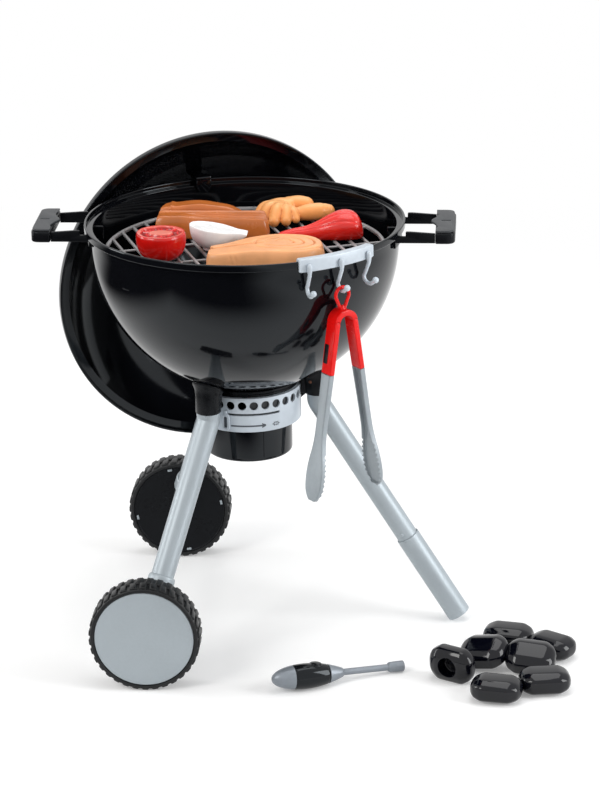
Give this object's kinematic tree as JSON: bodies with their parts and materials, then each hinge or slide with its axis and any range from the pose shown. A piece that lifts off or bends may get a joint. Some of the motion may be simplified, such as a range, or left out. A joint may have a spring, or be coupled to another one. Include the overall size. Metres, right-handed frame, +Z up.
{
  "type": "toy barbecue grill",
  "caption": "Toy kettle barbecue on splayed legs with wheels, a hung lid, food on its grate, tongs on a hook rail, a toy lighter and loose coals.",
  "frame": {"origin": "on the floor, under the middle of the whole assembly's box", "axes": "+Z up, +X along the side handles towards the plain leg, +Y away from the viewer, parallel to the wheels' axle"},
  "size_m": [0.5072, 0.4462, 0.4592],
  "materials": {
    "gloss_black": "polished black moulded plastic",
    "satin_black": "satin black moulded plastic",
    "tyre_black": "dull black plastic tread",
    "silver_grey": "silver-grey moulded plastic",
    "pale_silver": "pale silver moulded plastic",
    "grate_grey": "grey moulded plastic",
    "inset_grey": "mid-grey moulded plastic",
    "tong_red": "glossy red moulded plastic",
    "tong_grey": "grey moulded plastic",
    "rib_brown": "glazed brown plastic food",
    "chicken_orange": "glazed light orange plastic food",
    "pepper_red": "glossy deep red plastic food",
    "tomato_red": "glossy red plastic food",
    "mushroom_white": "white plastic food",
    "fish_peach": "peach plastic food",
    "coal_black": "polished black plastic"
  },
  "bodies": {
    "grill": {"bowl": "gloss_black", "right_handle_frame": "satin_black", "right_handle_grip": "satin_black", "right_handle_inset": "inset_grey", "left_handle_frame": "satin_black", "left_handle_grip": "satin_black", "left_handle_inset": "inset_grey", "plain_leg_socket": "satin_black", "rear_leg_socket": "satin_black", "front_leg_socket": "satin_black", "plain_leg": "silver_grey", "rear_leg": "silver_grey", "front_leg": "silver_grey", "foot_sleeve": "silver_grey", "rear_axle_bracket": "silver_grey", "front_axle_bracket": "silver_grey", "axle": "silver_grey", "air_ring": "pale_silver", "neck_gasket": "satin_black"},
    "front_wheel": {"front_tyre": "tyre_black", "front_wheel_body": "satin_black", "front_wheel_cover": "silver_grey"},
    "rear_wheel": {"rear_tyre": "tyre_black", "rear_wheel_body": "satin_black", "rear_wheel_cover": "silver_grey"},
    "damper": {"damper_ring": "inset_grey", "vent_lever": "pale_silver"},
    "pan": {"ash_pan": "gloss_black"},
    "lid": {"lid_shell": "gloss_black", "lid_hook": "gloss_black", "lid_handle_frame": "satin_black", "lid_handle_grip": "satin_black"},
    "grate": {"cooking_grate": "grate_grey"},
    "rib": {"rib_steak": "rib_brown"},
    "chicken": {"chicken_piece": "chicken_orange"},
    "pepper": {"red_pepper": "pepper_red"},
    "tomato": {"tomato_half": "tomato_red"},
    "mushroom": {"mushroom_half": "mushroom_white"},
    "fish": {"fish_steak": "fish_peach"},
    "rail": {"hook_rail": "pale_silver", "left_hook": "pale_silver", "middle_hook": "pale_silver", "right_hook": "pale_silver"},
    "tongs": {"tongs_crown": "tong_red"},
    "tongs_left": {"tongs_left_arm": "tong_red", "tongs_left_blade": "tong_grey"},
    "tongs_right": {"tongs_right_arm": "tong_red", "tongs_right_blade": "tong_grey"},
    "lighter": {"lighter_shell": "silver_grey", "lighter_band": "gloss_black", "lighter_tube": "silver_grey", "lighter_tip": "silver_grey"},
    "button": {"lighter_button": "gloss_black"},
    "coal_1": {"coal_front_left": "coal_black"},
    "coal_2": {"coal_front_right": "coal_black"},
    "coal_3": {"coal_left": "coal_black"},
    "coal_4": {"coal_back_left": "coal_black"},
    "coal_5": {"coal_back_right": "coal_black"},
    "coal_6": {"coal_mid_left": "coal_black"},
    "coal_7": {"coal_mid_right": "coal_black"}
  },
  "joints": [
    {"name": "front_wheel_spin", "type": "hinge", "parent": "grill", "child": "front_wheel", "pos_m": [-0.14314, -0.18, 0.0518], "axis": [0, 1, 0], "continuous": true},
    {"name": "rear_wheel_spin", "type": "hinge", "parent": "grill", "child": "rear_wheel", "pos_m": [-0.14314, 0.13, 0.0518], "axis": [0, 1, 0], "continuous": true},
    {"name": "vent_lever_turn", "type": "hinge", "parent": "grill", "child": "damper", "pos_m": [-0.05678, -0.02546, 0.22718], "axis": [0, 0, 1], "range_deg": [0, 58]},
    {"name": "ash_pan_pull", "type": "slide", "parent": "grill", "child": "pan", "axis": [0, 0, -1], "range_m": [0, 0.06]},
    {"name": "lid_lift", "type": "slide", "parent": "grill", "child": "lid", "axis": [0, 0, 1], "range_m": [0, 0.12]},
    {"name": "grate_lift", "type": "slide", "parent": "grill", "child": "grate", "axis": [0, 0, 1], "range_m": [0, 0.05]},
    {"name": "rib_lift", "type": "slide", "parent": "grate", "child": "rib", "axis": [0, 0, 1], "range_m": [0, 0.06]},
    {"name": "chicken_lift", "type": "slide", "parent": "grate", "child": "chicken", "axis": [0, 0, 1], "range_m": [0, 0.06]},
    {"name": "pepper_lift", "type": "slide", "parent": "grate", "child": "pepper", "axis": [0, 0, 1], "range_m": [0, 0.06]},
    {"name": "tomato_lift", "type": "slide", "parent": "grate", "child": "tomato", "axis": [0, 0, 1], "range_m": [0, 0.06]},
    {"name": "mushroom_lift", "type": "slide", "parent": "grate", "child": "mushroom", "axis": [0, 0, 1], "range_m": [0, 0.06]},
    {"name": "fish_lift", "type": "slide", "parent": "grate", "child": "fish", "axis": [0, 0, 1], "range_m": [0, 0.06]},
    {"name": "rail_lift", "type": "slide", "parent": "grill", "child": "rail", "axis": [0, 0, 1], "range_m": [0, 0.01]},
    {"name": "tongs_swing", "type": "hinge", "parent": "rail", "child": "tongs", "pos_m": [0.04028, -0.14618, 0.3761], "axis": [0.6266, -0.7793, 0], "range_deg": [-10, 10]},
    {"name": "tongs_left_squeeze", "type": "hinge", "parent": "tongs", "child": "tongs_left", "pos_m": [0.03265, -0.15232, 0.3434], "axis": [0.6266, -0.7793, 0], "range_deg": [0, 10], "stiffness_Nm_per_rad": 0.5},
    {"name": "tongs_right_squeeze", "type": "hinge", "parent": "tongs", "child": "tongs_right", "pos_m": [0.04792, -0.14004, 0.3434], "axis": [-0.6266, 0.7793, 0], "range_deg": [0, 10], "stiffness_Nm_per_rad": 0.5},
    {"name": "lighter_lift", "type": "slide", "parent": "grill", "child": "lighter", "axis": [0, 0, 1], "range_m": [0, 0.1]},
    {"name": "lighter_button_press", "type": "slide", "parent": "lighter", "child": "button", "axis": [-0.0521, -0.0237, -0.9984], "range_m": [0, 0.001], "stiffness_N_per_m": 400},
    {"name": "coal_1_lift", "type": "slide", "parent": "grill", "child": "coal_1", "axis": [0, 0, 1], "range_m": [0, 0.08]},
    {"name": "coal_2_lift", "type": "slide", "parent": "grill", "child": "coal_2", "axis": [0, 0, 1], "range_m": [0, 0.08]},
    {"name": "coal_3_lift", "type": "slide", "parent": "grill", "child": "coal_3", "axis": [0, 0, 1], "range_m": [0, 0.08]},
    {"name": "coal_4_lift", "type": "slide", "parent": "grill", "child": "coal_4", "axis": [0, 0, 1], "range_m": [0, 0.08]},
    {"name": "coal_5_lift", "type": "slide", "parent": "grill", "child": "coal_5", "axis": [0, 0, 1], "range_m": [0, 0.08]},
    {"name": "coal_6_lift", "type": "slide", "parent": "grill", "child": "coal_6", "axis": [0, 0, 1], "range_m": [0, 0.08]},
    {"name": "coal_7_lift", "type": "slide", "parent": "grill", "child": "coal_7", "axis": [0, 0, 1], "range_m": [0, 0.08]}
  ],
  "couplings": [
    {"joint": "tongs_right_squeeze", "follows": "tongs_left_squeeze", "ratio": 1}
  ]
}
